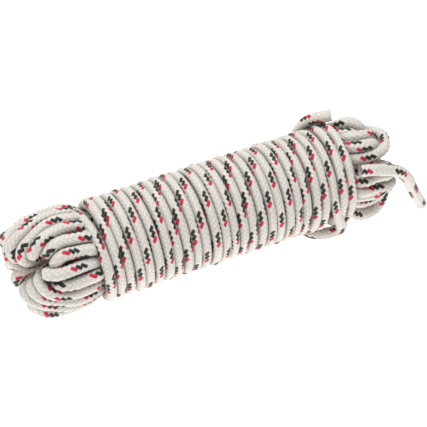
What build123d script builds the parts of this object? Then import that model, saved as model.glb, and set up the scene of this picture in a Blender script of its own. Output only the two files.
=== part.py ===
from build123d import *
import os
from math import cos, radians, sin, tan

# A hank of white braided rope: lengthwise bights laid side by side, bound round the
# middle by close frapping turns, with the folds of the bights showing at both ends.
# It is one rope on the real object. Each node here is a stretch of it.
#
# Everything is laid out first about the hank's own axis: x runs along the hank, with
# x = 0 at the middle of the bound length, and y = z = 0 on the axis. place() then moves
# it all so that the origin is at the bottom centre of the whole object.

# Rope
ROPE_D = 8.0           # free rope, nominal
CORE_D = 4.6           # core of straight filaments inside the braided sheath
CORE_PLAY = 0.05       # between core and sheath
RUN_D = 6.8            # a run pressed in the bound part of the hank
RUN_PITCH = 6.9        # between the centres of two such runs

# Frapping turns
TURNS = 27
TURN_PITCH = 6.55
TURN_WIDTH = 6.3       # along the hank
TURN_DEPTH = 6.6       # away from the axis
TURN_R = 29.9          # to the middle of the rope
SAG_R = 23.5           # of the two lower corners, which the weight presses outwards
SAG_HALF_FLAT = 5.0    # half the width that lies on the floor
RAISED_TURNS = 2       # the last turns, which lie over the spreading bights
RAISED_BY = 0.8
SLACK_TURN = 25        # the turn that has slipped down in front
SLACK_R = 10.0         # of its front corner
SLACK_Y = -22.0

# Bights: nested loops in upright planes, one column of runs above another
PLANES = 7
LOOPS_IN_PLANE = 3
LOOPS_IN_OUTER_PLANE = 2
JOIN_GAP = 0.4         # between the two ends of a bight or turn
BOUND_HALF = TURNS * TURN_PITCH / 2
FOLD_FULLNESS = 0.96   # of the half height that each fold's corner radius takes
BEND_R = 14.0          # where a run begins to spread, and where it stops
# Each end: where the spread starts and stops, where the folds' centres are, and by how
# much the columns and the rows of runs move apart.
LEFT = dict(side=-1, spread_from=88.0, spread_to=100.0, centre=106.6, wide=1.25, high=1.35)
RIGHT = dict(side=1, spread_from=88.0, spread_to=99.5, centre=105.0, wide=1.25, high=1.30)
UNEVEN = 0.7           # how much the folds' reach differs from one loop to the next

# Running end: it comes out of the right folds and hangs down to the floor in front
RUNNING_ROOT = (90.5, -26.5, 21.5)
RUNNING_HINGE = (111.4, -31.9, 20.0)
RUNNING_BEND = (122.8, -33.0, 10.7)
RUNNING_LOW = (130.7, -31.0, -6.0)
RUNNING_TIP = (144.0, -28.5, -30.5)
RUNNING_SEAL = 4.0     # length of the melted end
ROOT_SETBACK = 3.2     # of the fixed stretch from the hinge, so that the end clears it

# Tucked end: it comes out between two turns and lies over the last ones
TUCKED_ANGLE = 60.0    # above the horizontal, on the back
TUCKED_X = (68.0, 93.3)
TUCKED_R = (38.6, 40.2)
TUCKED_SEAL = 1.2
HINGE_GAP = 0.3        # between the end's ball and its socket


def bend_radius(points, i, share=0.45):
    """The largest radius that fits the corner at points[i], from its two runs."""
    a, b, c = (Vector(*points[k]) for k in (i - 1, i, i + 1))
    turn = radians((b - a).get_angle(c - b))
    return share * min((b - a).length, (c - b).length) / tan(turn / 2)


def tube(path, radius):
    """A round bar along a path."""
    return sweep((path ^ 0) * Circle(radius), path=path)


def turn_path(radius, corners):
    """A line round the axis: a circle and its lower corners, drawn tight. It is open by
    JOIN_GAP underneath, where the real rope passes on to the next turn."""
    rounds = [Circle(radius)]
    rounds += [Pos(y, -radius + r) * Circle(r) for y, r in corners]
    hull = make_hull([edge for c in rounds for edge in c.edges()])
    *upper, under = hull.edges().sort_by(Axis.Y)[::-1]
    left, right = sorted([under @ 0, under @ 1], key=lambda p: p.X)
    halves = [
        Line(left, (-JOIN_GAP / 2, -radius)).edge(),
        Line((JOIN_GAP / 2, -radius), right).edge(),
    ]
    return Plane.YZ * Wire([*upper, *halves])


def turn(x, radius, corners):
    """One frapping turn at x. The rope is pressed to an oval between its neighbours."""
    path = Pos(x, 0, 0) * turn_path(radius, corners)
    profile = Plane(path @ 0, x_dir=(1, 0, 0), z_dir=path % 0)
    return sweep(profile * Ellipse(TURN_WIDTH / 2, TURN_DEPTH / 2), path=path)


def turn_x(number):
    return -BOUND_HALF + TURN_PITCH * (number - 0.5)


def make_turns():
    """The frapping turns, numbered from the left."""
    made = {}
    sagging = [(-SAG_HALF_FLAT, SAG_R), (SAG_HALF_FLAT, SAG_R)]
    for number in range(1, TURNS + 1):
        raised = RAISED_BY if number > TURNS - RAISED_TURNS else 0
        if number == SLACK_TURN:
            made["slack_turn"] = turn(turn_x(number), TURN_R, [(SLACK_Y, SLACK_R), sagging[1]])
        else:
            # A raised turn keeps its underside on the floor with the others.
            ring = turn(turn_x(number), TURN_R + raised, sagging)
            made[f"wrap_turn_{number:02d}"] = Pos(0, 0, raised) * ring
    return made


def fold_points(end, y, z, reach):
    """Four points of a bight round one end, from its upper run to its lower run."""
    side = end["side"]
    wide_y, high_z = y * end["wide"], z * end["high"]
    tip = side * (end["centre"] + high_z + reach)
    start, stop = side * end["spread_from"], side * end["spread_to"]
    upper = [(start, y, z), (stop, wide_y, high_z), (tip, wide_y, high_z)]
    lower = [(x, py, -pz) for x, py, pz in reversed(upper)]
    return upper + lower, [BEND_R, BEND_R, FOLD_FULLNESS * high_z]


def bight(plane, row):
    """One bight: an upper run, a fold, a lower run and a fold, back to where it began."""
    y = RUN_PITCH * (plane - (PLANES - 1) / 2)
    z = RUN_PITCH * (row + 0.5)
    uneven = UNEVEN * sin(2.4 * plane + 1.7 * row)
    left, left_radii = fold_points(LEFT, y, z, uneven)
    right, right_radii = fold_points(RIGHT, y, z, -uneven / 2)
    points = [(0, y, z), *left, *reversed(right), (JOIN_GAP, y, z)]
    radii = [*left_radii, *reversed(left_radii), *right_radii, *reversed(right_radii)]
    return tube(FilletPolyline(*points, radius=radii), RUN_D / 2)


def make_bights():
    """The bights, column by column from the front, inner loop first."""
    made = {}
    for plane in range(PLANES):
        outer = plane in (0, PLANES - 1)
        for row in range(LOOPS_IN_OUTER_PLANE if outer else LOOPS_IN_PLANE):
            made[f"bight_{len(made) + 1:02d}"] = bight(plane, row)
    return made


def part_way(a, b, distance):
    """The point at this distance from b, on the way from a to b."""
    a, b = Vector(*a), Vector(*b)
    return tuple(b - (b - a).normalized() * distance)


def end_stretch(points, seal_length):
    """The sheath, core and melted seal of a loose end that turns about points[0]."""
    neck = part_way(points[-2], points[-1], seal_length)
    if len(points) > 2:
        line = [*points[:-1], neck]
        radii = [bend_radius(line, i) for i in range(1, len(line) - 1)]
        print("running end radii", [round(r, 1) for r in radii])
        path = FilletPolyline(*line, radius=radii)
    else:
        path = Line(points[0], neck)
    ball = Pos(*points[0]) * Sphere(ROPE_D / 2)
    sheath = tube(path, ROPE_D / 2) + ball - tube(path, CORE_D / 2 + CORE_PLAY)
    core = tube(path, CORE_D / 2)
    seal = tube(Line(neck, points[-1]), ROPE_D / 2)
    rim = seal.edges().filter_by(GeomType.CIRCLE).sort_by_distance(points[-1])[0]
    return sheath, core, fillet(rim, min(0.45 * seal_length, 0.3 * ROPE_D))


def make_running_end():
    """The loose end that hangs down, with the fixed stretch that it turns on."""
    route = [RUNNING_HINGE, RUNNING_BEND, RUNNING_LOW, RUNNING_TIP]
    socket = Pos(*RUNNING_HINGE) * Sphere(ROPE_D / 2 + HINGE_GAP)
    root_end = part_way(RUNNING_ROOT, RUNNING_HINGE, ROOT_SETBACK)
    root = tube(Line(RUNNING_ROOT, root_end), ROPE_D / 2) - socket
    sheath, core, seal = end_stretch(route, RUNNING_SEAL)
    return {
        "running_end_root": root,
        "running_end_sheath": sheath,
        "running_end_core": core,
        "running_end_seal": seal,
    }


def make_tucked_end():
    """The short cut end that lies over the last turns."""
    angle = radians(TUCKED_ANGLE)
    route = [(x, r * cos(angle), r * sin(angle)) for x, r in zip(TUCKED_X, TUCKED_R)]
    sheath, core, seal = end_stretch(route, TUCKED_SEAL)
    return {
        "tucked_end_sheath": sheath,
        "tucked_end_core": core,
        "tucked_end_seal": seal,
    }


def place(nodes):
    """Moves every node so that the origin is at the whole object's bottom centre."""
    boxes = [node.bounding_box() for node in nodes.values()]
    low = [min(getattr(box.min, side) for box in boxes) for side in "XYZ"]
    high = [max(getattr(box.max, side) for box in boxes) for side in "XYZ"]
    shift = Pos(-(low[0] + high[0]) / 2, -(low[1] + high[1]) / 2, -low[2])
    print("moved by", [round(v, 3) for v in shift.position])
    return {name: shift * node for name, node in nodes.items()}


def main():
    nodes = {**make_bights(), **make_turns(), **make_running_end(), **make_tucked_end()}
    os.makedirs("parts", exist_ok=True)
    for name, node in place(nodes).items():
        export_step(node, f"parts/{name}.step")


main()
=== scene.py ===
"""A hank of white braided rope, bound round the middle, with its folds at both ends.

The whole hank is one rope. It is worked out here as one line: the running end, then
the lengthwise bights one after another, then the frapping turns, then the tucked end.
Lengths are in millimetres about the hank's own axis until to_row() turns them into
metres in the frame's place: x runs along the hank from the middle of its bound part,
and an angle round the axis starts where the hank faces front and up, and grows
towards its back.
"""

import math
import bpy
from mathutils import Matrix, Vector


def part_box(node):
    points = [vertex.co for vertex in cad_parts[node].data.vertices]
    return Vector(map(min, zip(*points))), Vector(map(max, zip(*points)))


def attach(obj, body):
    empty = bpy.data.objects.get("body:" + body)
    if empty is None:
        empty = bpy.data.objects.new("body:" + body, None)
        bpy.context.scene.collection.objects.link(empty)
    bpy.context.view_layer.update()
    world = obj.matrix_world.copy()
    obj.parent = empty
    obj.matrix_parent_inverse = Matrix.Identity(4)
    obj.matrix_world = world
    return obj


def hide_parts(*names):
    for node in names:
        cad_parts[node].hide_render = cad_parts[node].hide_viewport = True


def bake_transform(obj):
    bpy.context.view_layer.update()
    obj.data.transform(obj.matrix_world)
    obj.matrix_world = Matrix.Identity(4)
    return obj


bl_info = {
    "name": "Rope Hank",
    "version": (1, 0, 0),
    "blender": (4, 5, 0),
    "location": "View3D > Sidebar > Rope Hank",
    "description": "Builds a bound hank of braided rope with coloured tracer yarns",
    "category": "Object",
}

import bpy
import numpy as np
from bpy.props import (
    FloatProperty,
    FloatVectorProperty,
    IntProperty,
    PointerProperty,
)
from bpy.types import Operator, Panel, PropertyGroup
from mathutils import Vector

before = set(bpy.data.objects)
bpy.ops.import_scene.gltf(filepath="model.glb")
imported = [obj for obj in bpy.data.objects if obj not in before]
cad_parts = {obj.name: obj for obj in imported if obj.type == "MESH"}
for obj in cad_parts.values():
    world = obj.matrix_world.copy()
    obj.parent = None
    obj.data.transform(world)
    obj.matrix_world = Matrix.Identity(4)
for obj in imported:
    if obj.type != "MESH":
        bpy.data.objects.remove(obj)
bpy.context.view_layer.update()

MM = 0.001

# --- the hank's own frame -------------------------------------------------------------

RING_LOW = 33.2  # from the hank's axis down to the underside of its turns
low_corner, high_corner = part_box("wrap_turn_14")
AXIS = np.array(
    [
        (low_corner.x + high_corner.x) / 2,
        (low_corner.y + high_corner.y) / 2,
        low_corner.z + RING_LOW * MM,
    ]
)
FACING = math.radians(131.2)  # of the direction the hank faces, from +Y towards +Z


def to_row(points):
    """Points about the hank's axis, in mm, as points of the frame, in metres."""
    return AXIS + np.asarray(points, float) * MM


def polar(x, radius, angle):
    """A point at this angle in degrees from where the hank faces."""
    turn = FACING - math.radians(angle)
    return (x, radius * math.cos(turn), radius * math.sin(turn))


# --- sizes ----------------------------------------------------------------------------

FLOOR = -29.2  # of the middle of a free rope that lies on the floor
BOUND_FLOOR = -29.4  # of the middle of a frapping turn, which is pressed thinner

TURNS = 27
TURN_PITCH = 6.55
TURN_R = 30.0
TURN_DEPTH_R = 3.8  # half a pressed turn's depth, away from the axis
BOUND_HALF = TURNS * TURN_PITCH / 2

# Rings of runs in the bound part: how many, and how far out
BOUND_RINGS = ((19, 20.7), (12, 13.8), (6, 6.9))


class RopeSizes(PropertyGroup):
    """Sizes of the rope and its braid."""

    diameter: FloatProperty(
        name="Diameter",
        description="Diameter of the free rope",
        default=8.0 * MM,
        min=2 * MM,
        unit="LENGTH",
    )
    lay: FloatProperty(
        name="Lay",
        description="Length along the rope in which a yarn goes once round it",
        default=25.0 * MM,
        min=5 * MM,
        unit="LENGTH",
    )
    relief: FloatProperty(
        name="Relief",
        description="Height of a yarn's crown over the grooves beside it",
        default=0.42 * MM,
        min=0.0,
        unit="LENGTH",
    )
    turn_width: FloatProperty(
        name="Turn width",
        description="Width of a frapping turn, pressed between its neighbours",
        default=6.9 * MM,
        min=1 * MM,
        unit="LENGTH",
    )
    ring_step: FloatProperty(
        name="Ring step",
        description="Distance between the rings of the mesh where the rope shows",
        default=0.7 * MM,
        min=0.2 * MM,
        unit="LENGTH",
    )
    sides: IntProperty(
        name="Sides",
        description="Faces round the rope",
        default=32,
        min=8,
        max=64,
    )


def colour_property(name, description, code):
    """A colour property whose default is an sRGB hex value."""
    return FloatVectorProperty(
        name=name,
        description=description,
        subtype="COLOR",
        size=4,
        min=0.0,
        max=1.0,
        default=to_linear(code),
    )


def to_linear(code):
    """Turns an sRGB hex value such as "E8E4DE" into linear RGBA."""
    parts = [int(code[i : i + 2], 16) / 255 for i in (0, 2, 4)]
    return tuple(
        c / 12.92 if c <= 0.04045 else ((c + 0.055) / 1.055) ** 2.4 for c in parts
    ) + (1.0,)


class RopeColours(PropertyGroup):
    """Colours of the rope's yarns."""

    white: colour_property("White yarn", "Undyed polypropylene yarns", "F0EBE3")
    # Painted shade: this colour is mixed into the white where the braid dips into its
    # grooves, and it also gives the stain patches and strands their darker tone.
    shade: colour_property("Groove shade and stain", "Between the white yarns", "B4ABA0")
    green: colour_property("Green tracer", "The two dark green tracer yarns", "1C2622")
    red: colour_property("Red tracer", "The red tracer yarn", "DC1440")
    melt: colour_property("Melted end", "Yarns fused by heat", "DED8CC")
    floor: colour_property("Floor", "The plain floor", "FFFFFF")


# --- small helpers --------------------------------------------------------------------


def add(tree, kind, settings=None, **links):
    """Adds a node. Settings are its properties, and links are values or sockets by
    the input's name or number (as _0, _1, ...)."""
    node = tree.nodes.new(kind)
    for key, value in (settings or {}).items():
        setattr(node, key, value)
    for key, value in links.items():
        socket = node.inputs[int(key[1:]) if key[1:].isdigit() else key.replace("_", " ")]
        if isinstance(value, bpy.types.NodeSocket):
            tree.links.new(value, socket)
        else:
            socket.default_value = value
    return node


class Sum:
    """A number in a node tree, with the usual operators, each of which adds one node."""

    def __init__(self, tree, socket):
        self.tree, self.socket = tree, socket

    def math(self, operation, *others):
        values = [o.socket if isinstance(o, Sum) else o for o in others]
        links = {f"_{i}": v for i, v in enumerate([self.socket, *values])}
        node = add(self.tree, "ShaderNodeMath", {"operation": operation}, **links)
        return Sum(self.tree, node.outputs[0])

    def __add__(self, other):
        return self.math("ADD", other)

    def __sub__(self, other):
        return self.math("SUBTRACT", other)

    def __mul__(self, other):
        return self.math("MULTIPLY", other)

    def floor(self):
        return self.math("FLOOR")

    def fract(self):
        return self.math("FRACT")

    def wrapped(self, size):
        return self.math("FLOORED_MODULO", float(size))

    def below(self, other):
        return self.math("LESS_THAN", other)

    def power(self, other):
        return self.math("POWER", other)

    def risen(self, low, high):
        """0 at low, 1 at high, straight between, and level past them."""
        grown = (self - low).math("DIVIDE", high - low)
        return grown.math("MAXIMUM", 0.0).math("MINIMUM", 1.0)

    def mixed(self, other, share):
        """self where share is 0, other where it is 1."""
        return (other - self) * share + self


YARNS = 8  # each way round
FLOAT = 2  # yarns that each yarn passes over, and then under
GREEN_TRACERS = 2  # the first right-running yarns
RED_TRACER = 2.0  # the number of the yarn after them
LEFT_SHIFT = 5  # numbers the left-running yarns on, so their filaments look different
CROWN_POWER = 0.55  # below 1, so a yarn is flat on top and drops off at its edges
END_DIP = 0.75  # share of a yarn's height that is lost where it dives under others
BEAD_SIDE = 0.7  # how much a float's sides count, against its ends, in rounding its bead
BEAD_RIM = (1.0, 0.7)  # where the bead's colour starts to show and where it is full


def braid(tree, around, along, lay):
    """The 2/2 braid at a place on the rope: which way the top yarn runs, its number,
    where the place is across and along that yarn's float, how high the yarn is there,
    and the rounded bead in which its colour shows. Around goes from 0 to 1."""
    turns = along.math("DIVIDE", lay)
    right = (around + turns) * YARNS
    left = (around - turns) * YARNS
    right_yarn, left_yarn = right.floor(), left.floor()
    step = (right_yarn + left_yarn).wrapped(2 * FLOAT)
    right_on_top = step.below(FLOAT - 0.5)
    across = left.fract().mixed(right.fract(), right_on_top)
    inside_right = (step + left.fract()) * (1 / FLOAT)
    inside_left = (step - float(FLOAT) + right.fract()) * (1 / FLOAT)
    inside = inside_left.mixed(inside_right, right_on_top)
    number = (left_yarn + LEFT_SHIFT).mixed(right_yarn, right_on_top).wrapped(YARNS)
    crown = (across * (across * -1 + 1) * 4).power(CROWN_POWER)
    dip = (inside * 2 - 1).math("ABSOLUTE").power(3.0) * -END_DIP + 1
    edge = (across * 2 - 1).math("ABSOLUTE").power(4.0) * BEAD_SIDE
    end = (inside * 2 - 1).math("ABSOLUTE").power(4.0)
    return {
        "bead": (edge + end).risen(*BEAD_RIM),
        "right_on_top": right_on_top,
        "number": number,
        "across": across,
        "inside": inside,
        "height": crown * dip,
    }


# --- the line of the rope -------------------------------------------------------------

# Outer runs at each end, in the order of their angle: angle, radius, how far out the
# fold goes, how far before that it starts to round the end, and how many degrees it
# sweeps round the axis as it does. The side that faces front and up is packed close.
LEFT_OUTER = (
    (0, 31.0, 123.5, 9, 0),
    (15, 31.2, 125.5, 12, -14),
    (30, 31.0, 128.5, 17, -24),
    (45, 31.0, 131.5, 24, -32),
    (61, 31.3, 134.0, 29, -34),
    (78, 31.8, 135.5, 31, -28),
    (96, 31.5, 135.5, 24, -12),
    (120, 31.0, 136.5, 20, 0),
    (144, 30.5, 137.0, 18, 0),
    (168, 30.5, 137.5, 16, 0),
    (192, 30.5, 137.5, 16, 0),
    (216, 30.5, 137.0, 16, 0),
    (238, 31.0, 135.5, 20, 8),
    (257, 31.5, 134.0, 28, 20),
    (275, 31.0, 133.5, 33, 28),
    (292, 31.0, 130.5, 28, 30),
    (309, 31.0, 127.0, 20, 24),
    (326, 31.0, 125.0, 14, 14),
    (343, 31.0, 123.5, 10, 6),
)
RIGHT_OUTER = (
    (-6, 29.5, 122.0, 14, 0),
    (6, 29.5, 122.0, 11, 0),
    (20, 29.3, 120.5, 13, -4),
    (34, 28.5, 119.5, 14, -8),
    (49, 27.5, 119.0, 18, -20),
    (66, 27.0, 117.5, 26, -36),
    (86, 26.5, 113.0, 26, -36),
    (106, 26.5, 113.5, 14, -6),
    (126, 28.5, 118.0, 14, 0),
    (147, 29.5, 119.0, 14, 0),
    (169, 30.0, 120.0, 14, 0),
    (192, 30.0, 119.0, 14, 0),
    (215, 30.5, 119.0, 14, 0),
    (238, 31.5, 119.0, 14, 0),
    (260, 35.5, 121.0, 16, 0),
    (281, 27.0, 118.0, 14, 0),
    (300, 25.5, 119.0, 14, 0),
    (318, 28.5, 123.0, 16, 8),
    (334, 29.5, 124.5, 16, 4),
)
# How far the free folds of each end (left -1, right 1) are shifted from the hank's axis
# towards its upper back, at right angles to the way it faces
END_RISE = {-1: 2.4, 1: -0.8}
# The inner run that each outer run folds into: ring (1 or 2) and place in that ring
INNER_OF = (
    (1, 0),
    (1, 1),
    (1, 2),
    (2, 0),
    (2, 1),
    (2, 2),
    None,
    (1, 3),
    (1, 4),
    (1, 5),
    (1, 6),
    (1, 7),
    (1, 8),
    (1, 9),
    (2, 3),
    (2, 4),
    (2, 5),
    (1, 10),
    (1, 11),
)
# Rings of inner runs: the first one's angle, and the ring's radius where the ends spread
INNER_RINGS = {1: (0.0, 18.5), 2: (40.0, 9.5)}
FIRST_OUTER = 0  # its right end is the running end
LAST_OUTER = 6  # its left end goes into the first frapping turn


def outer_order():
    """The outer runs in the order that the rope takes them."""
    above = range(len(LEFT_OUTER) - 1, LAST_OUTER, -1)
    below = range(LAST_OUTER - 1, FIRST_OUTER, -1)
    return [FIRST_OUTER, *above, *below, LAST_OUTER]


def bound_outer(j):
    """Radius and angle of an outer run in the bound part."""
    count, radius = BOUND_RINGS[0]
    return radius, 360.0 * j / count


def inner_angle(place):
    """Angle of an inner run, bound or free."""
    ring, k = place
    return INNER_RINGS[ring][0] + 360.0 * k / BOUND_RINGS[ring][0]


def bound_inner(place):
    """Radius and angle of an inner run in the bound part."""
    return BOUND_RINGS[place[0]][1], inner_angle(place)


def free_inner(place):
    """Radius and angle of an inner run where its end spreads."""
    return INNER_RINGS[place[0]][1], inner_angle(place)


def flat(radius, angle):
    """The place (y, z) at this radius and angle."""
    return np.array(polar(0, radius, angle)[1:])


# A fold's places along the hank, from the last turn outwards
HELD = -4.0  # still held by the turns
SPREADING = 2.5
SPREAD = 9.0
SPREADING_SHARE, SPREAD_SHARE = 0.65, 0.97  # of the way out, reached at those two
STRAIGHT = 17.0  # a fold that rounds the end further out than this has a straight first
INNER_SPREAD = 13.0  # the same for the inner run
INNER_SPREADING = 4.0
BACK = 9.0  # how far back along the hank a fold's way from its tip to its inner run goes
TURNED_IN, TURNED_MORE = 0.45, 0.4  # how far in a fold goes as it rounds the end, and
DEEPEST = 32.0  # how much further in by this depth, as shares of the way


def quarter(steps):
    """Sine and cosine of equal steps through a quarter circle."""
    angles = [math.radians(90 * k / steps) for k in range(steps + 1)]
    return [(math.sin(angle), math.cos(angle)) for angle in angles]


def fold_route(side, outer, j, place):
    """The line of one fold, from the bound outer run to the bound inner run."""
    angle, radius, reach, depth, swept = outer[j]
    rise = flat(END_RISE[side], 90)
    out_bound, out_free = flat(*bound_outer(j)), flat(radius, angle) + rise
    in_bound, in_free = flat(*bound_inner(place)), flat(*free_inner(place)) + rise
    steps = [
        (BOUND_HALF + HELD, out_bound),
        (
            BOUND_HALF + SPREADING,
            out_bound * (1 - SPREADING_SHARE) + out_free * SPREADING_SHARE,
        ),
        (BOUND_HALF + SPREAD, out_free * SPREAD_SHARE),
    ]
    if reach - depth > BOUND_HALF + STRAIGHT:
        steps.append((BOUND_HALF + STRAIGHT, out_free))
    # Round the end to its outermost point, half of the way in or more, then back.
    turned = TURNED_IN + TURNED_MORE * min(1.0, depth / DEEPEST)
    outermost = radius + (free_inner(place)[0] - radius) * turned
    for sine, cosine in quarter(6):
        around = flat(radius + (outermost - radius) * (1 - cosine), angle + swept * sine**2)
        steps.append((reach - depth * (1 - sine), around + rise))
    turned_to = steps[-1][1]
    for sine, cosine in quarter(4)[1:]:
        inwards = turned_to + (in_free - turned_to) * sine
        steps.append((reach - min(BACK, depth) * (1 - cosine), inwards))
    steps += [
        (BOUND_HALF + INNER_SPREAD, in_free),
        (BOUND_HALF + INNER_SPREADING, (in_bound + in_free) / 2),
        (BOUND_HALF + HELD, in_bound),
    ]
    return np.array([(side * x, *yz) for x, yz in steps])


def spaced(points, step):
    """The same line with points this far apart."""
    points = np.asarray(points, float)
    run = np.concatenate([[0], np.cumsum(np.linalg.norm(np.diff(points, axis=0), axis=1))])
    count = max(2, int(round(run[-1] / step)) + 1)
    at = np.linspace(0, run[-1], count)
    return np.stack([np.interp(at, run, points[:, i]) for i in range(3)], axis=1)


def rounded(points, times=3):
    """The same line with its corners eased, its two ends kept."""
    points = points.copy()
    for _ in range(times):
        points[1:-1] = (points[:-2] + 2 * points[1:-1] + points[2:]) / 4
    return points


# Settling goes in rounds. A point's sharpness is its distance from the middle of the
# two points beside it.
SETTLE_ROUNDS = 160
SETTLE_STEP = 5.0  # between the points of a fold
SETTLE_GAP = 7.7  # between the middles of two ropes that touch
SETTLE_REACH = 31.5  # how far from the axis a free rope's middle may be pushed
OWN_POINTS = 4  # points of one fold that are nearer than this don't push each other
PUSH, LONGEST_PUSH = 0.35, 1.2  # share of an overlap undone in a round, and its limit
EASING = 0.05  # share of a point's sharpness that a round takes away
SPRINGING = 0.3  # the same, added where a fold is bent too sharply
SHARP, SHARP_RANGE = 1.6, 1.2  # where that starts, and how much sharper it is full
PULL = 0.45  # share of a stretch or squeeze that each of the two points undoes
NEAR_FLOOR = 6.0  # within this height of the floor, nothing else holds a rope in


def fold_line(side, outer, j, place):
    """One fold with eased corners, in points for settling."""
    fine = spaced(fold_route(side, outer, j, place), SETTLE_STEP / 2)
    return spaced(rounded(fine), SETTLE_STEP)


def settle(lines, side):
    """Pushes the folds of one end apart until they lie against each other, keeping
    their lengths. Their first and last points stay where the turns hold them."""
    sizes = [len(line) for line in lines]
    place = np.concatenate(lines)
    line_of = np.repeat(np.arange(len(lines)), sizes)
    index = np.concatenate([np.arange(n) for n in sizes])
    last = np.concatenate([np.full(n, n - 1) for n in sizes])
    held = (index < 2) | (index > last - 2)
    near = (line_of[:, None] == line_of[None, :]) & (
        np.abs(index[:, None] - index[None, :]) < OWN_POINTS
    )
    edge = np.nonzero(line_of[:-1] == line_of[1:])[0]
    length = np.linalg.norm(place[edge + 1] - place[edge], axis=1)
    furthest = (place[:, 0] * side).max()
    inner = np.nonzero(~held)[0]
    for _ in range(SETTLE_ROUNDS):
        gap = place[:, None, :] - place[None, :, :]
        apart = np.sqrt((gap**2).sum(-1)) + 1e-9
        press = np.where(near, 0.0, np.maximum(0.0, SETTLE_GAP - apart))
        push = (gap / apart[..., None] * press[..., None]).sum(1) * PUSH
        push[held] = 0
        place = place + np.clip(push, -LONGEST_PUSH, LONGEST_PUSH)
        middle = np.zeros_like(place)
        middle[inner] = (place[inner - 1] + place[inner + 1]) / 2 - place[inner]
        sharp = np.linalg.norm(middle, axis=1, keepdims=True)
        springs = np.clip((sharp - SHARP) / SHARP_RANGE, 0, 1)
        place = place + middle * (EASING + SPRINGING * springs)
        for part in (edge[::2], edge[1::2]) * 2:
            rest = length[np.searchsorted(edge, part)]
            line = place[part + 1] - place[part]
            size = np.linalg.norm(line, axis=1) + 1e-9
            fix = line * ((size - rest) / size * PULL)[:, None]
            np.add.at(place, part, fix * ~held[part, None])
            np.add.at(place, part + 1, -fix * ~held[part + 1, None])
        radius = np.hypot(place[:, 1], place[:, 2])
        shrink = np.where((radius > SETTLE_REACH) & ~held, SETTLE_REACH / radius, 1.0)
        shrink = np.where(place[:, 2] < FLOOR + NEAR_FLOOR, 1.0, shrink)
        place[:, 1:] *= shrink[:, None]
        place[~held, 2] = np.maximum(place[~held, 2], FLOOR)
        place[:, 0] = side * np.minimum(place[:, 0] * side, furthest)
    return np.split(place, np.cumsum(sizes)[:-1])


def settled_folds(side, outer, pairs):
    """The settled folds of one end. Pairs are of outer runs: the one whose inner run
    folds here, which is also the fold's name, and the one that it folds to."""
    lines = [fold_line(side, outer, to, INNER_OF[name]) for name, to in pairs]
    names = [name for name, _ in pairs]
    return {name: rounded(line, 1) for name, line in zip(names, settle(lines, side))}


BIGHTS_PER_PIECE = 4
STRAIGHT_HALF = 30.0  # the runs are straight between here and the same place at the left


def bight_stretches():
    """The rope's line through all the bights, from the running end's root on the right
    to the first frapping turn on the left, as lines of several bights each. A line
    starts and ends in the middle of an inner run, deep inside the bound part."""
    order = outer_order()
    left = settled_folds(-1, LEFT_OUTER, [(j, j) for j in order[:-1]])
    # On the right, the inner run folds out to the next outer run.
    right = settled_folds(1, RIGHT_OUTER, list(zip(order[:-1], order[1:])))
    outer = flat(*bound_outer(FIRST_OUTER))
    pieces, line = [], [(BOUND_HALF, *outer)]
    for number, j in enumerate(order[:-1], start=1):
        outer = flat(*bound_outer(j))
        inner = flat(*bound_inner(INNER_OF[j]))
        line += [(STRAIGHT_HALF, *outer), (-STRAIGHT_HALF, *outer)]
        line += [tuple(point) for point in left[j]]
        line += [(-STRAIGHT_HALF, *inner), (0.0, *inner)]
        if number % BIGHTS_PER_PIECE == 0:
            pieces.append(np.array(line))
            line = [(0.0, *inner)]
        line += [(STRAIGHT_HALF, *inner)]
        line += [tuple(point) for point in right[j][::-1]]
    outer = flat(*bound_outer(LAST_OUTER))
    line += [(STRAIGHT_HALF, *outer), (-STRAIGHT_HALF, *outer)]
    return [*pieces, np.array(line)]


# Running end: the same route as its solid
RUNNING_ROUTE = (
    (90.5, -26.5, 21.5),
    (111.4, -31.9, 20.0),
    (122.8, -33.0, 10.7),
    (130.7, -31.0, -6.0),
    (144.0, -28.5, -30.5),
)
RUNNING_SEAL = 4.0
RUNNING_TIP_R, RUNNING_RIM = 3.9, 1.6  # of the melted tip and its rounded rim

# Tucked end: x, radius and angle, under the turns and then out between two of them
TUCKED_SEAL = 1.2
TUCKED_ROUTE = (
    (48.0, 24.0, 124.0),
    (61.0, 25.5, 121.0),
    (69.5, 29.0, 114.0),
    (74.5, 33.8, 101.0),
    (78.5, 37.3, 86.0),
    (82.0, 38.7, 74.0),
    (86.5, 38.9, 67.5),
    (91.3 - TUCKED_SEAL, 39.0, 65.0),
)
TUCKED_TIP_R, TUCKED_RIM = 3.95, 0.5

# The frapping is a helix, wound by hand
TURN_POINTS = 16  # control points in each turn
TURN_START = 100.0  # degrees, where the first turn comes out of the bights
TURN_IN = 0.14  # turns, how far in from the bound part's left end the helix starts
UNEVEN_ALONG = ((0.35, 2.3, 0.0), (0.25, 5.1, 1.0))  # waves: size, radians a turn, start
UNEVEN_OUT = ((0.25, 1.7, 0.6), (0.2, 7.3, 0.0))
FIRST_STRETCH = 0.35  # share of the first turn in which it rises from among the bights
FIRST_BACK, FIRST_SUNK = 9.0, 5.0  # where that starts: to the left, and towards the axis
RAISED_TURNS, RAISED_BY = 2, 0.9  # the last turns, which lie over the spreading bights
LEAN = 3.2  # of the last turns: their upper backs to the right, lower fronts to the left
LEAN_POWER = 1.5  # above 1, so the lean grows towards the last turns
SAG = 1.8  # how much further out the last turns' lower fronts hang
TURN_SPLITS = (0, 7, 14, 21, TURNS)  # turns at which one piece ends and the next begins
FLOOR_EASE = 3.0  # a turn's middle that is nearer to the floor than this is pressed down

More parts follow.
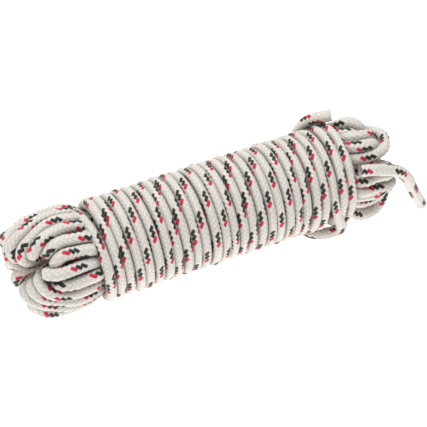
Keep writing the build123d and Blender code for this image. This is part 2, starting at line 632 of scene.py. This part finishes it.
# The slack stretch of the 25th turn. It has slipped down to the floor in front, and
# goes back under the hank: points between these two places of the helix, in turns.
SLACK_TURN = 25
SLACK_FROM, SLACK_TO = 24.4, 24.72
SLACK = (
    (74.0, -31.6, -8.5),
    (76.3, -32.6, -15.0),
    (78.0, -31.6, -21.0),
    (77.3, -28.2, -26.5),
    (72.6, -26.0, FLOOR),
    (66.0, -24.2, FLOOR),
    (60.2, -20.5, FLOOR),
    (58.6, -15.5, FLOOR),
    (62.0, -11.0, -29.3),
    (68.0, -7.5, BOUND_FLOOR),
)


def unevenness(waves, turns):
    """The sum of some waves, this many turns from the start of the frapping."""
    return sum(size * math.sin(rate * turns + start) for size, rate, start in waves)


def turn_point(turns):
    """The middle of the rope this many turns from the start of the frapping."""
    angle = TURN_START - 360.0 * turns
    height = math.sin(math.radians(angle))
    share = turns / TURNS
    x = -BOUND_HALF + TURN_PITCH * (turns + TURN_IN) + unevenness(UNEVEN_ALONG, turns)
    x += LEAN * share**LEAN_POWER * height
    radius = TURN_R + unevenness(UNEVEN_OUT, turns)
    if turns < FIRST_STRETCH:
        early = 1 - turns / FIRST_STRETCH
        x -= FIRST_BACK * early**2
        radius -= FIRST_SUNK * early**2
    if turns > TURNS - RAISED_TURNS:
        radius += RAISED_BY
    radius += SAG * share**3 * max(0.0, -height)
    _, y, z = polar(x, radius, angle)
    if z < BOUND_FLOOR:
        z = BOUND_FLOOR
    elif z < BOUND_FLOOR + FLOOR_EASE:
        z = BOUND_FLOOR + (z - BOUND_FLOOR) ** 2 / (2 * FLOOR_EASE)
    return (x, y, z)


def turns_line(first, last):
    """Control points of the frapping from one whole number of turns to another."""
    steps = [first + k / TURN_POINTS for k in range((last - first) * TURN_POINTS + 1)]
    before = [turn_point(t) for t in steps if t < SLACK_FROM]
    after = [turn_point(t) for t in steps if t > SLACK_TO]
    slack = SLACK if first < SLACK_FROM and last > SLACK_TO else ()
    return [*before, *slack, *after]


# --- making rope ----------------------------------------------------------------------


def read_spline(control):
    """The points of a smooth NURBS line with these control points, in metres."""
    curve = bpy.data.curves.new("route", "CURVE")
    curve.dimensions = "3D"
    spline = curve.splines.new("NURBS")
    spline.points.add(len(control) - 1)
    spline.points.foreach_set(
        "co", np.concatenate([control, np.ones((len(control), 1))], axis=1).ravel()
    )
    spline.order_u = 3
    spline.use_endpoint_u = True
    spline.resolution_u = 12
    holder = bpy.data.objects.new("route", curve)
    bpy.context.scene.collection.objects.link(holder)
    bpy.context.view_layer.update()
    mesh = bpy.data.meshes.new_from_object(
        holder.evaluated_get(bpy.context.evaluated_depsgraph_get())
    )
    line = np.zeros(len(mesh.vertices) * 3)
    mesh.vertices.foreach_get("co", line)
    bpy.data.objects.remove(holder)
    bpy.data.curves.remove(curve)
    bpy.data.meshes.remove(mesh)
    return line.reshape(-1, 3)


# A run's mesh is sparse inside the bound part, this far in from its ends and its turns
HIDDEN_FROM_END = 6.0
HIDDEN_R = 25.0
HIDDEN_STEP = 4.0  # between the rings there
TOO_NEAR = 0.3  # share of a step: the last ring takes the place of one nearer than this


def ring_places(line, step, hidden_step):
    """Points along a line for the mesh's rings, sparse where the turns hide it, and the
    line's length."""
    run = np.concatenate([[0], np.cumsum(np.linalg.norm(np.diff(line, axis=0), axis=1))])
    fine = np.arange(0, run[-1], step)
    x = np.interp(fine, run, line[:, 0]) - AXIS[0]
    radius = np.hypot(
        np.interp(fine, run, line[:, 1]) - AXIS[1],
        np.interp(fine, run, line[:, 2]) - AXIS[2],
    )
    inside = np.abs(x) < (BOUND_HALF - HIDDEN_FROM_END) * MM
    hidden = inside & (radius < HIDDEN_R * MM)
    keep = np.ones(len(fine), bool)
    every = max(1, int(round(hidden_step / step)))
    keep[hidden & (np.arange(len(fine)) % every != 0)] = False
    at = np.append(fine[keep], run[-1])
    if at[-1] - at[-2] < step * TOO_NEAR:
        at = np.delete(at, -2)
    return np.stack([np.interp(at, run, line[:, i]) for i in range(3)], axis=1), run[-1]


SUNK = 0.75  # share of the relief that lies inside the rope's radius
DOUBLES = 0.002  # corners nearer than this are merged, which closes the seam


def rope_tree():
    """Geometry Nodes that lay braided rope along a line."""
    tree = bpy.data.node_groups.get("Braided rope")
    if tree:
        return tree
    tree = bpy.data.node_groups.new("Braided rope", "GeometryNodeTree")
    face = tree.interface
    face.new_socket("Geometry", in_out="OUTPUT", socket_type="NodeSocketGeometry")
    face.new_socket("Geometry", in_out="INPUT", socket_type="NodeSocketGeometry")
    for name in ("Radius", "Lay", "Relief", "Start", "Width share"):
        face.new_socket(name, in_out="INPUT", socket_type="NodeSocketFloat")
    face.new_socket("Sides", in_out="INPUT", socket_type="NodeSocketInt")
    face.new_socket("Material", in_out="INPUT", socket_type="NodeSocketMaterial")
    given = add(tree, "NodeGroupInput").outputs

    line = add(tree, "GeometryNodeMeshToCurve", Mesh=given["Geometry"])
    run = add(tree, "GeometryNodeSplineParameter")
    length = add(
        tree,
        "ShaderNodeMath",
        {"operation": "ADD"},
        _0=run.outputs["Length"],
        _1=given["Start"],
    )
    held = add(tree, "GeometryNodeCaptureAttribute", Geometry=line.outputs[0])
    held.capture_items.new("FLOAT", "along")
    held.capture_items.new("VECTOR", "middle")
    spot = add(tree, "GeometryNodeInputPosition")
    tree.links.new(length.outputs[0], held.inputs["along"])
    tree.links.new(spot.outputs[0], held.inputs["middle"])

    # An open circle has a seam with its own corners, so "around" runs from 0 to 1.
    steps = add(tree, "ShaderNodeMath", {"operation": "ADD"}, _0=given["Sides"], _1=1.0)
    circle = add(
        tree,
        "GeometryNodeCurveArc",
        {"mode": "RADIUS"},
        Resolution=steps.outputs[0],
        Radius=given["Radius"],
        Sweep_Angle=2 * math.pi,
    )
    turn = add(tree, "GeometryNodeSplineParameter")
    profile = add(tree, "GeometryNodeCaptureAttribute", Geometry=circle.outputs[0])
    profile.capture_items.new("FLOAT", "around")
    tree.links.new(turn.outputs["Factor"], profile.inputs["around"])

    tube = add(
        tree,
        "GeometryNodeCurveToMesh",
        Curve=held.outputs["Geometry"],
        Profile_Curve=profile.outputs["Geometry"],
    )
    around = Sum(tree, profile.outputs["around"]) * -1 + 1
    along = Sum(tree, held.outputs["along"])
    weave = braid(tree, around, along, given["Lay"])
    lift = weave["height"] * given["Relief"] - Sum(tree, given["Relief"]) * SUNK

    here = add(tree, "GeometryNodeInputPosition")
    spoke = add(
        tree,
        "ShaderNodeVectorMath",
        {"operation": "SUBTRACT"},
        _0=here.outputs[0],
        _1=held.outputs["middle"],
    )
    grown = lift.math("DIVIDE", given["Radius"]) + 1
    scaled = add(
        tree,
        "ShaderNodeVectorMath",
        {"operation": "SCALE"},
        _0=spoke.outputs[0],
        Scale=grown.socket,
    )
    narrow = add(tree, "ShaderNodeCombineXYZ", X=given["Width share"], Y=1.0, Z=1.0)
    pressed = add(
        tree,
        "ShaderNodeVectorMath",
        {"operation": "MULTIPLY"},
        _0=scaled.outputs[0],
        _1=narrow.outputs[0],
    )
    target = add(
        tree,
        "ShaderNodeVectorMath",
        {"operation": "ADD"},
        _0=held.outputs["middle"],
        _1=pressed.outputs[0],
    )
    place = add(tree, "ShaderNodeCombineXYZ", X=around.socket, Y=along.socket, Z=0.0)
    mapped = add(
        tree,
        "GeometryNodeStoreNamedAttribute",
        {"data_type": "FLOAT2", "domain": "CORNER"},
        Geometry=tube.outputs[0],
        Name="braid",
        Value=place.outputs[0],
    )
    moved = add(
        tree,
        "GeometryNodeSetPosition",
        Geometry=mapped.outputs[0],
        Position=target.outputs[0],
    )
    closed = add(
        tree,
        "GeometryNodeMergeByDistance",
        Geometry=moved.outputs[0],
        Distance=DOUBLES * MM,
    )
    smooth = add(tree, "GeometryNodeSetShadeSmooth", Geometry=closed.outputs[0])
    real = add(tree, "GeometryNodeRealizeInstances", Geometry=smooth.outputs[0])
    painted = add(
        tree,
        "GeometryNodeSetMaterial",
        Geometry=real.outputs[0],
        Material=given["Material"],
    )
    add(tree, "NodeGroupOutput", Geometry=painted.outputs[0])
    return tree


def lay_rope(name, control, start=0.0, radius=None, width_share=1.0):
    """Braided rope along a smooth line with these control points, in metres. Its braid
    goes on from a start along the rope. Gives the piece, the points that it follows,
    and its length."""
    sizes = bpy.context.scene.rope_sizes
    line = read_spline(control)
    places, length = ring_places(line, sizes.ring_step, HIDDEN_STEP * MM)
    path = bpy.data.meshes.new(name)
    path.from_pydata(places.tolist(), [(i, i + 1) for i in range(len(places) - 1)], [])
    holder = bpy.data.objects.new(name + "_line", path)
    bpy.context.scene.collection.objects.link(holder)
    modifier = holder.modifiers.new("rope", "NODES")
    tree = rope_tree()
    modifier.node_group = tree
    sockets = {
        s.name: s.identifier
        for s in tree.interface.items_tree
        if s.item_type == "SOCKET" and s.in_out == "INPUT"
    }
    values = {
        "Radius": radius or sizes.diameter / 2,
        "Lay": sizes.lay,
        "Relief": sizes.relief,
        "Start": start,
        "Width share": width_share,
        "Sides": sizes.sides,
        "Material": rope_material(),
    }
    for key, value in values.items():
        modifier[sockets[key]] = value
    bpy.context.view_layer.update()
    mesh = bpy.data.meshes.new_from_object(
        holder.evaluated_get(bpy.context.evaluated_depsgraph_get())
    )
    mesh.name = name
    piece = bpy.data.objects.new(name, mesh)
    bpy.context.scene.collection.objects.link(piece)
    bpy.data.objects.remove(holder)
    bpy.data.meshes.remove(path)
    return piece, places, length


MELT_SIDES = 48
MELT_INSIDE = ((-1.2, 0.90), (0.0, 0.96))  # place along the rope and share of the radius
MELT_SWOLLEN = 0.3  # share of its length at which a melted end reaches its radius
RIM_STEPS = 6
MELT_FACE = (0.5, 0.25)  # shares of the radius, on the face
FACE_SUNK, MIDDLE_SUNK = 0.1, 0.2  # how far the face and its middle lie inside the rim
MELT_LUMP = 0.12  # height of the face's lumps


def melted_tip(name, neck, tip, radius, rim):
    """A melted end: it swells a little over the braid, its rim is rounded, and its face
    is slightly uneven. Its places and sizes are in metres."""
    neck, tip = Vector(neck), Vector(tip)
    along = tip - neck
    turned = along.to_track_quat("Z", "Y")
    length = along.length
    outline = [(at * MM, share) for at, share in MELT_INSIDE]
    outline.append((MELT_SWOLLEN * length, 1.0))
    for sine, cosine in quarter(RIM_STEPS):
        outline.append((length - rim + rim * sine, 1 - rim / radius * (1 - cosine)))
    outline += [(length - FACE_SUNK * MM, share) for share in MELT_FACE]
    points, faces = [], []
    for at, share in outline:
        for k in range(MELT_SIDES):
            angle = 2 * math.pi * k / MELT_SIDES
            uneven = 0.03 * math.sin(3 * angle + 1.1) + 0.02 * math.sin(7 * angle)
            reach = radius * share * (1 + uneven * min(1.0, max(0.0, at / length)))
            lump = MELT_LUMP * MM * math.sin(5 * angle + 9 * share) * (1 - share)
            points.append((reach * math.cos(angle), reach * math.sin(angle), at + lump))
    points.append((0, 0, length - MIDDLE_SUNK * MM))
    for ring in range(len(outline)):
        for k in range(MELT_SIDES):
            a, b = ring * MELT_SIDES + k, ring * MELT_SIDES + (k + 1) % MELT_SIDES
            on_face = ring == len(outline) - 1
            further = (len(points) - 1,) if on_face else (b + MELT_SIDES, a + MELT_SIDES)
            faces.append((a, b, *further))
    mesh = bpy.data.meshes.new(name)
    mesh.from_pydata([tuple(neck + turned @ Vector(p)) for p in points], [], faces)
    mesh.polygons.foreach_set("use_smooth", [True] * len(mesh.polygons))
    mesh.materials.append(melt_material())
    piece = bpy.data.objects.new(name, mesh)
    bpy.context.scene.collection.objects.link(piece)
    return piece


# --- materials ------------------------------------------------------------------------


def empty_material(name):
    """A new material and its node tree, with no nodes in it."""
    material = bpy.data.materials.new(name)
    material.use_nodes = True
    material.node_tree.nodes.clear()
    return material, material.node_tree


# The real filaments are too fine to show, so they are drawn as coarse as they need to
STRANDS = 7.0  # across a yarn
STRAND_BREAKS = 1.2  # along a float
STRAND_STEP = 3.7  # how far apart the strands of two yarns lie in the noise
STRAND_LENGTH = 11.111  # mm, after which they differ again along the rope
STAIN = 26.3  # mm, size of the patches where the white is a little darker
# How much of the grooves' colour the white yarns take on: painted shade in the grooves, and
# their own darker tone in patches and between the strands
GROOVE_SHADE, STAIN_SHADE, STRAND_SHADE = 0.6, 0.35, 0.35
CLEAN = 0.17  # taken off that, so that the crowns stay white
GREEN_IN_GROOVE = (0.35, 0.35, 0.35, 1.0)  # what is left of the green under the painted groove shade
CREVICE, CREVICE_LIGHT = 5.0, 0.25  # how near two ropes shade each other, what is left


def rope_material():
    """Braided polypropylene: bundles of fine, slightly glossy filaments. The yarns are
    white, with two dark green tracers and a red one beside them."""
    name = "Braided polypropylene with tracers"
    if name in bpy.data.materials:
        return bpy.data.materials[name]
    sizes, colours = bpy.context.scene.rope_sizes, bpy.context.scene.rope_colours
    material, tree = empty_material(name)
    place = add(tree, "ShaderNodeUVMap", {"uv_map": "braid"})
    parts = add(tree, "ShaderNodeSeparateXYZ", _0=place.outputs[0])
    around, along = Sum(tree, parts.outputs[0]), Sum(tree, parts.outputs[1])
    weave = braid(tree, around, along, sizes.lay)
    number, right_on_top = weave["number"], weave["right_on_top"]

    # Filaments run along each yarn, so the noise is drawn out along its float.
    threads = add(
        tree,
        "ShaderNodeCombineXYZ",
        X=(weave["across"] * STRANDS).socket,
        Y=(weave["inside"] * STRAND_BREAKS).socket,
        Z=(number * STRAND_STEP + along * (1 / (STRAND_LENGTH * MM))).socket,
    )
    grain = add(
        tree,
        "ShaderNodeTexNoise",
        {"noise_dimensions": "3D"},
        Vector=threads.outputs[0],
        Scale=1.0,
        Detail=2.0,
        Roughness=0.6,
    )
    tone = add(
        tree,
        "ShaderNodeTexNoise",
        Vector=add(tree, "ShaderNodeTexCoord").outputs["Object"],
        Scale=1 / (STAIN * MM),
        Detail=3.0,
        Roughness=0.6,
    )
    # The white is darker in the grooves, which is painted shade, and in patches and between
    # the strands, which is its own uneven tone.
    depth = (weave["height"] * -1 + 1).power(1.6)
    shade_and_stain = depth * GROOVE_SHADE + Sum(tree, tone.outputs[0]) * STAIN_SHADE - CLEAN
    shade_and_stain = shade_and_stain + (Sum(tree, grain.outputs[0]) - 0.5) * STRAND_SHADE
    plain = add(
        tree,
        "ShaderNodeMix",
        {"data_type": "RGBA"},
        _0=shade_and_stain.socket,
        _6=tuple(colours.white),
        _7=tuple(colours.shade),
    )
    shows = right_on_top * weave["bead"]
    is_green = number.below(GREEN_TRACERS - 0.5) * shows
    is_red = number.math("COMPARE", RED_TRACER, 0.5) * shows
    # Painted shade: the green tracer is darkened in the grooves by the same depth as the
    # white.
    darker = add(
        tree,
        "ShaderNodeMix",
        {"data_type": "RGBA", "blend_type": "MULTIPLY"},
        _0=(depth * GROOVE_SHADE).socket,
        _6=tuple(colours.green),
        _7=GREEN_IN_GROOVE,
    )
    green = add(
        tree,
        "ShaderNodeMix",
        {"data_type": "RGBA"},
        _0=is_green.socket,
        _6=plain.outputs[2],
        _7=darker.outputs[2],
    )
    red = add(
        tree,
        "ShaderNodeMix",
        {"data_type": "RGBA"},
        _0=is_red.socket,
        _6=green.outputs[2],
        _7=tuple(colours.red),
    )
    # Little light gets in where two ropes touch.
    crevice = add(
        tree,
        "ShaderNodeAmbientOcclusion",
        {"samples": 4},
        Distance=CREVICE * MM,
    )
    light = Sum(tree, crevice.outputs["AO"]).power(0.8)
    shaded = add(
        tree,
        "ShaderNodeMix",
        {"data_type": "RGBA", "blend_type": "MULTIPLY"},
        _0=1.0,
        _6=red.outputs[2],
        _7=(light * (1 - CREVICE_LIGHT) + CREVICE_LIGHT).socket,
    )
    bump = add(
        tree,
        "ShaderNodeBump",
        Strength=0.5,
        Distance=0.12 * MM,
        Height=grain.outputs[0],
    )
    shader = add(
        tree,
        "ShaderNodeBsdfPrincipled",
        Base_Color=shaded.outputs[2],
        Roughness=0.62,
        Normal=bump.outputs[0],
        Sheen_Weight=0.15,
        Sheen_Roughness=0.5,
    )
    add(tree, "ShaderNodeOutputMaterial", Surface=shader.outputs[0])
    return material


BLISTER = 1.111  # mm, size of the lumps in a melted skin


def melt_material():
    """Polypropylene melted by a hot blade: a hard, slightly glossy skin."""
    name = "Melted polypropylene"
    if name in bpy.data.materials:
        return bpy.data.materials[name]
    material, tree = empty_material(name)
    lumps = add(
        tree,
        "ShaderNodeTexNoise",
        Vector=add(tree, "ShaderNodeTexCoord").outputs["Object"],
        Scale=1 / (BLISTER * MM),
        Detail=3.0,
    )
    bump = add(
        tree,
        "ShaderNodeBump",
        Strength=0.6,
        Distance=0.3 * MM,
        Height=lumps.outputs[0],
    )
    shader = add(
        tree,
        "ShaderNodeBsdfPrincipled",
        Base_Color=tuple(bpy.context.scene.rope_colours.melt),
        Roughness=0.42,
        Normal=bump.outputs[0],
    )
    add(tree, "ShaderNodeOutputMaterial", Surface=shader.outputs[0])
    return material


def paper_material():
    """White paper, matt, and lit through so that it stays as white as the wall."""
    material, tree = empty_material("White paper floor")
    shader = add(
        tree,
        "ShaderNodeBsdfPrincipled",
        Base_Color=tuple(bpy.context.scene.rope_colours.floor),
        Roughness=0.9,
        Emission_Color=(1, 1, 1, 1),
        Emission_Strength=0.75,
    )
    add(tree, "ShaderNodeOutputMaterial", Surface=shader.outputs[0])
    return material


# --- stage ----------------------------------------------------------------------------

FLOOR_HALF = 3.0  # metres, as are the places and widths of the lights
SKY_FILL = 0.26  # strength of the white surroundings as a light
# Each light: its place, its power in watts and its width
LIGHTS = {
    "overhead softbox": ((-0.05, 0.25, 1.1), 10.6, 0.9),
    "front softbox": ((-0.6, -0.9, 0.8), 1.5, 1.0),
}
LIT = (0, 0, 0.03)  # what the lights point at
AZIMUTH, ELEVATION = math.radians(-25.0), math.radians(46.0)  # of the camera
CAMERA_DISTANCE = 0.72
CAMERA_ACROSS, CAMERA_UP = -1.5, -2.2  # mm, from where it would face the middle
LENS, SENSOR = 93.3, 36.0


def make_floor():
    """A wide sheet of white paper."""
    mesh = bpy.data.meshes.new("floor")
    corners = [(-1, -1), (1, -1), (1, 1), (-1, 1)]
    places = [(x * FLOOR_HALF, y * FLOOR_HALF, 0) for x, y in corners]
    mesh.from_pydata(places, [], [(0, 1, 2, 3)])
    mesh.materials.append(paper_material())
    floor = bpy.data.objects.new("floor", mesh)
    bpy.context.scene.collection.objects.link(floor)
    return floor


def make_world():
    """A white wall to the camera, which gives the hank only a soft fill."""
    world = bpy.data.worlds.new("White studio")
    world.use_nodes = True
    sky = world.node_tree
    sky.nodes.clear()
    rays = add(sky, "ShaderNodeLightPath")
    strength = Sum(sky, rays.outputs["Is Camera Ray"]) * (1 - SKY_FILL) + SKY_FILL
    wall = add(
        sky,
        "ShaderNodeBackground",
        Color=(1, 1, 1, 1),
        Strength=strength.socket,
    )
    add(sky, "ShaderNodeOutputWorld", Surface=wall.outputs[0])
    return world


def add_light(name, place, power, width):
    """A square softbox that points at the hank."""
    light = bpy.data.lights.new(name, "AREA")
    light.energy = power
    light.size = width
    lamp = bpy.data.objects.new(name, light)
    lamp.location = place
    aim = Vector(LIT) - Vector(place)
    lamp.rotation_euler = aim.to_track_quat("-Z", "Y").to_euler()
    bpy.context.scene.collection.objects.link(lamp)


def make_camera():
    """A long lens, from above the front left."""
    back = Vector(
        (
            math.sin(AZIMUTH) * math.cos(ELEVATION),
            -math.cos(AZIMUTH) * math.cos(ELEVATION),
            math.sin(ELEVATION),
        )
    )
    turned = back.to_track_quat("Z", "Y")
    data = bpy.data.cameras.new("camera")
    data.lens = LENS
    data.sensor_width = SENSOR
    data.clip_start = 0.01
    camera = bpy.data.objects.new("camera", data)
    aside = turned @ Vector((CAMERA_ACROSS * MM, CAMERA_UP * MM, 0))
    camera.location = Vector(to_row((0, 0, 0))) + back * CAMERA_DISTANCE + aside
    camera.rotation_euler = turned.to_euler()
    bpy.context.scene.collection.objects.link(camera)
    return camera


# --- operators ------------------------------------------------------------------------


class OBJECT_OT_lengthwise_bights(Operator):
    """Lays the rope up and down the hank, fold after fold"""

    bl_idname = "object.lengthwise_bights"
    bl_label = "Lengthwise bights"

    def execute(self, context):
        nodes = [f"bight_{i + 1:02d}" for i in range(len(LEFT_OUTER))]
        stretches = bight_stretches()
        share = len(nodes) / len(stretches)  # nodes that each stretch stands for
        start = 0.0
        for i, control in enumerate(stretches):
            piece, places, length = lay_rope(
                f"lengthwise_bights_{i + 1}", to_row(control), start
            )
            start += length
            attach(piece, "hank")
            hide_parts(*nodes[round(i * share) : round((i + 1) * share)])
        return {"FINISHED"}


class OBJECT_OT_frapping_turns(Operator):
    """Winds the rope round the middle of the hank"""

    bl_idname = "object.frapping_turns"
    bl_label = "Frapping turns"

    def execute(self, context):
        sizes = context.scene.rope_sizes
        start = 0.0
        for i, (first, last) in enumerate(zip(TURN_SPLITS, TURN_SPLITS[1:])):
            piece, places, length = lay_rope(
                f"frapping_turns_{i + 1}",
                to_row(turns_line(first, last)),
                start,
                radius=TURN_DEPTH_R * MM,
                width_share=sizes.turn_width / (2 * TURN_DEPTH_R * MM),
            )
            start += length
            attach(piece, "hank")
            nodes = [
                "slack_turn" if k == SLACK_TURN else f"wrap_turn_{k:02d}"
                for k in range(first + 1, last + 1)
            ]
            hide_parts(*nodes)
        return {"FINISHED"}


class OBJECT_OT_running_end(Operator):
    """Lays the loose end that hangs down to the floor, with its melted tip"""

    bl_idname = "object.running_end"
    bl_label = "Running end"

    def execute(self, context):
        route = np.array(RUNNING_ROUTE)
        last = route[-1] - route[-2]
        neck = route[-1] - last / np.linalg.norm(last) * RUNNING_SEAL
        piece, places, length = lay_rope("running_end", to_row([*route[:-1], neck]))
        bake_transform(piece)
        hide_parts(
            "running_end_root",
            "running_end_sheath",
            "running_end_core",
        )
        seal = melted_tip(
            "melted_tip",
            to_row(neck),
            to_row(route[-1]),
            RUNNING_TIP_R * MM,
            RUNNING_RIM * MM,
        )
        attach(seal, "running_end")
        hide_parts("running_end_seal")
        return {"FINISHED"}


class OBJECT_OT_tucked_end(Operator):
    """Lays the short cut end over the last turns"""

    bl_idname = "object.tucked_end"
    bl_label = "Tucked end"

    def execute(self, context):
        points = [polar(*place) for place in TUCKED_ROUTE]
        piece, places, length = lay_rope("tucked_end", to_row(points))
        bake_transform(piece)
        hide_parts("tucked_end_sheath", "tucked_end_core")
        neck = places[-1]
        last = neck - places[-4]
        tip = neck + last / np.linalg.norm(last) * TUCKED_SEAL * MM
        seal = melted_tip(
            "melted_cut_face",
            neck,
            tip,
            TUCKED_TIP_R * MM,
            TUCKED_RIM * MM,
        )
        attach(seal, "tucked_end")
        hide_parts("tucked_end_seal")
        return {"FINISHED"}


class OBJECT_OT_rope_stage(Operator):
    """Sets up the floor, the lights and the camera"""

    bl_idname = "object.rope_stage"
    bl_label = "Stage"

    def execute(self, context):
        scene = context.scene
        make_floor()
        scene.world = make_world()
        for name, (place, power, width) in LIGHTS.items():
            add_light(name, place, power, width)
        scene.camera = make_camera()
        scene.view_settings.view_transform = "Standard"
        return {"FINISHED"}


class VIEW3D_PT_rope_hank(Panel):
    """Lists the hank's parts and their sizes"""

    bl_label = "Rope Hank"
    bl_idname = "VIEW3D_PT_rope_hank"
    bl_space_type = "VIEW_3D"
    bl_region_type = "UI"
    bl_category = "Rope Hank"

    def draw(self, context):
        layout = self.layout
        for group in (context.scene.rope_sizes, context.scene.rope_colours):
            for key in group.__annotations__:
                layout.prop(group, key)
        for step in BUILD_ORDER:
            layout.operator(step.bl_idname)


BUILD_ORDER = (
    OBJECT_OT_lengthwise_bights,
    OBJECT_OT_frapping_turns,
    OBJECT_OT_running_end,
    OBJECT_OT_tucked_end,
    OBJECT_OT_rope_stage,
)
CLASSES = (RopeSizes, RopeColours, *BUILD_ORDER, VIEW3D_PT_rope_hank)


def register():
    for cls in CLASSES:
        bpy.utils.register_class(cls)
    bpy.types.Scene.rope_sizes = PointerProperty(type=RopeSizes)
    bpy.types.Scene.rope_colours = PointerProperty(type=RopeColours)


def unregister():
    del bpy.types.Scene.rope_colours
    del bpy.types.Scene.rope_sizes
    for cls in reversed(CLASSES):
        bpy.utils.unregister_class(cls)


def main():
    register()
    for step in BUILD_ORDER:
        group, name = step.bl_idname.split(".")
        getattr(getattr(bpy.ops, group), name)()


if __name__ == "__main__":
    main()
